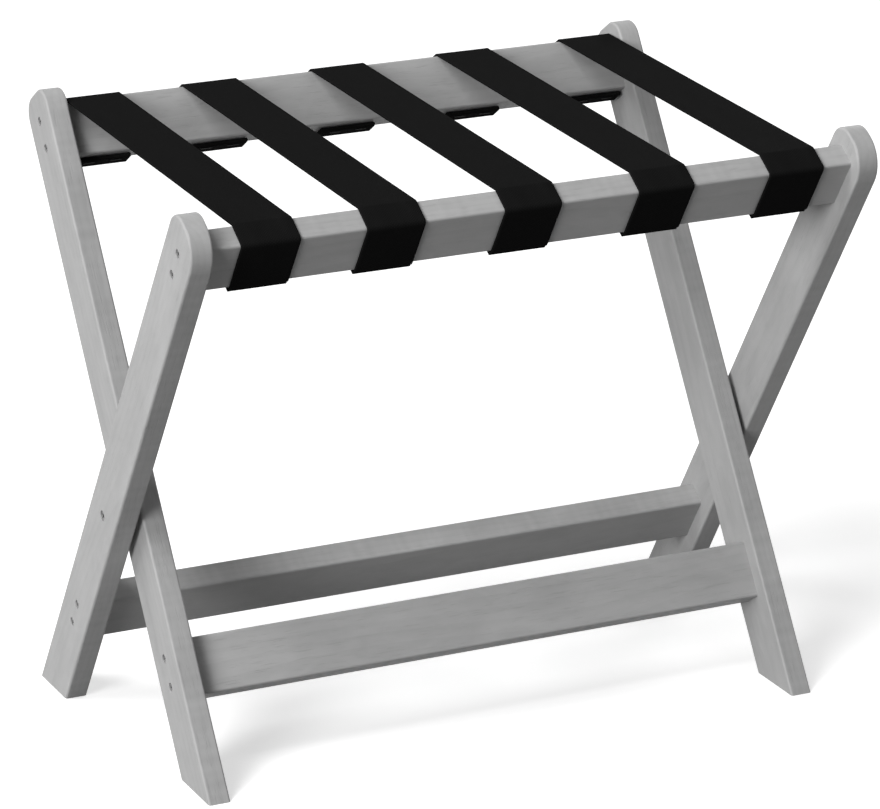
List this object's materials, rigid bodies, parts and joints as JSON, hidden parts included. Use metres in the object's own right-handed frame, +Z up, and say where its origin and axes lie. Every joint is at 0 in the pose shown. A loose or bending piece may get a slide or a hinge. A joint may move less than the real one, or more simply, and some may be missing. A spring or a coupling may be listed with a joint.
{
  "type": "folding luggage rack",
  "caption": "Folding luggage rack of grey-stained wooden boards: two crossed frames on a pivot, with flat black webbing straps drawn tight between the top rails.",
  "frame": {"origin": "on the floor, under the middle of the rack's outline", "axes": "+X along the rack to its right end, -Y to the front, +Z up"},
  "size_m": [0.6, 0.4168, 0.5089],
  "materials": {
    "stained_wood": "grey stain, satin lacquer",
    "webbing": "flat woven, matt",
    "screw_steel": "dark zinc plate",
    "staple_steel": "blackened wire",
    "spacer_plastic": "moulded, matt"
  },
  "bodies": {
    "outer_frame": {"left_outer_leg": "stained_wood", "right_outer_leg": "stained_wood", "front_top_rail": "stained_wood", "rear_bottom_rail": "stained_wood", "front_top_rail_screws": "screw_steel", "rear_bottom_rail_screws": "screw_steel", "front_staples": "staple_steel", "strap_1_front_end": "webbing", "strap_2_front_end": "webbing", "strap_3_front_end": "webbing", "strap_4_front_end": "webbing", "strap_5_front_end": "webbing", "strap_1_span": "webbing", "strap_2_span": "webbing", "strap_3_span": "webbing", "strap_4_span": "webbing", "strap_5_span": "webbing"},
    "inner_frame": {"left_inner_leg": "stained_wood", "right_inner_leg": "stained_wood", "rear_top_rail": "stained_wood", "front_bottom_rail": "stained_wood", "rear_top_rail_screws": "screw_steel", "front_bottom_rail_screws": "screw_steel", "rear_staples": "staple_steel", "left_pivot_screw": "screw_steel", "right_pivot_screw": "screw_steel", "left_pivot_spacer": "spacer_plastic", "right_pivot_spacer": "spacer_plastic", "strap_1_rear_end": "webbing", "strap_2_rear_end": "webbing", "strap_3_rear_end": "webbing", "strap_4_rear_end": "webbing", "strap_5_rear_end": "webbing"}
  },
  "joints": [
    {"name": "fold", "type": "hinge", "parent": "outer_frame", "child": "inner_frame", "pos_m": [0, -0.00474, 0.198], "axis": [1, 0, 0], "range_deg": [0, 46.5], "deforming": ["strap_1_span", "strap_2_span", "strap_3_span", "strap_4_span", "strap_5_span"]}
  ]
}
